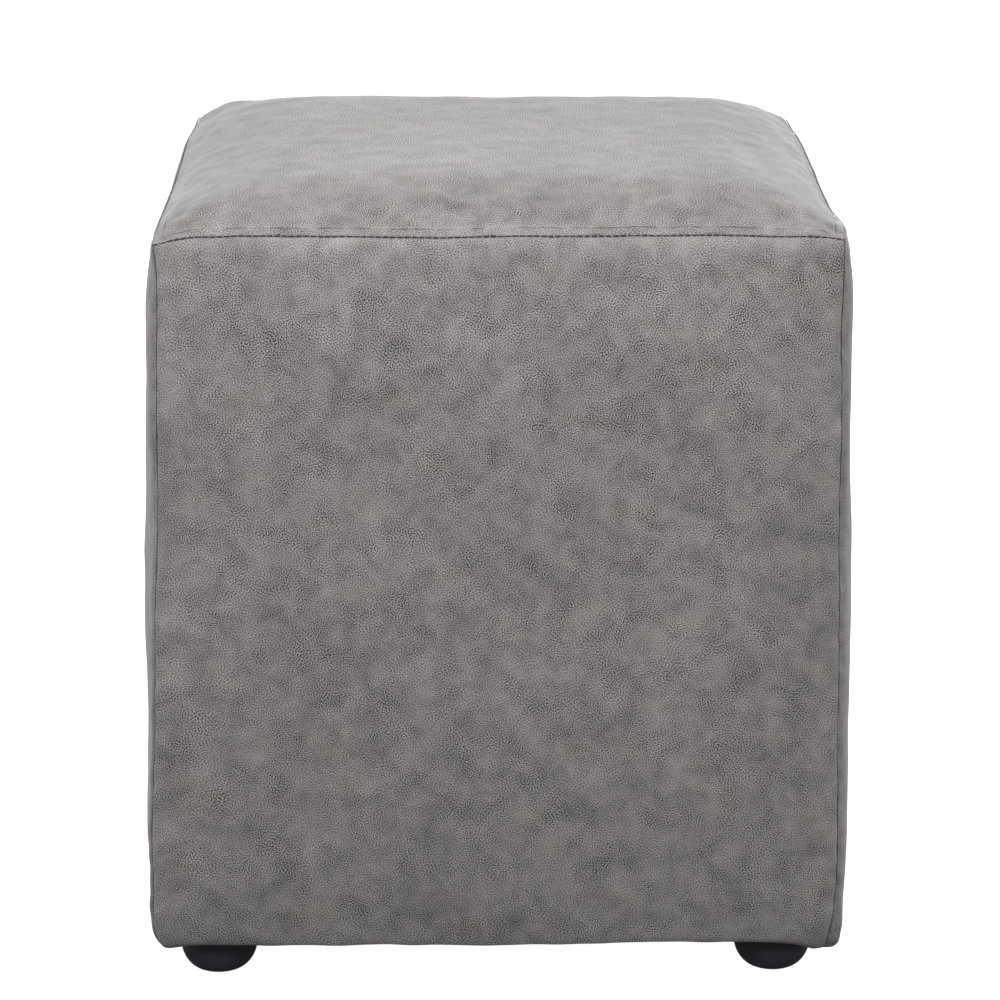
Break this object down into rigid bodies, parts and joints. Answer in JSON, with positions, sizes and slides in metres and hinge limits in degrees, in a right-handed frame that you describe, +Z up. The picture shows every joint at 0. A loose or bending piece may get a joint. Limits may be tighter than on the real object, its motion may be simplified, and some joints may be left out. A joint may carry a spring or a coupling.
{
  "type": "cube pouf stool",
  "caption": "Cube pouf stool: a padded, crowned top and padded side panels in suede-look cloth, seamed together over a flat underside on domed plastic glides.",
  "frame": {"origin": "on the floor under the middle of the stool, the bottom centre of its bounding box", "axes": "+Z up, the front panel faces -Y, +X to the right as seen from the front"},
  "size_m": [0.4136, 0.4136, 0.4682],
  "materials": {
    "cover_cloth": "mottled grey suede-look microfibre, matt with a fine pebbled grain",
    "underside_cloth": "plain black bonded cloth, matt",
    "glide_plastic": "moulded black plastic, satin"
  },
  "bodies": {
    "root": {"top_panel": "cover_cloth", "front_panel": "cover_cloth", "right_panel": "cover_cloth", "back_panel": "cover_cloth", "left_panel": "cover_cloth", "underside": "underside_cloth", "glide_front_left": "glide_plastic", "glide_front_right": "glide_plastic", "glide_back_left": "glide_plastic", "glide_back_right": "glide_plastic"}
  },
  "joints": []
}
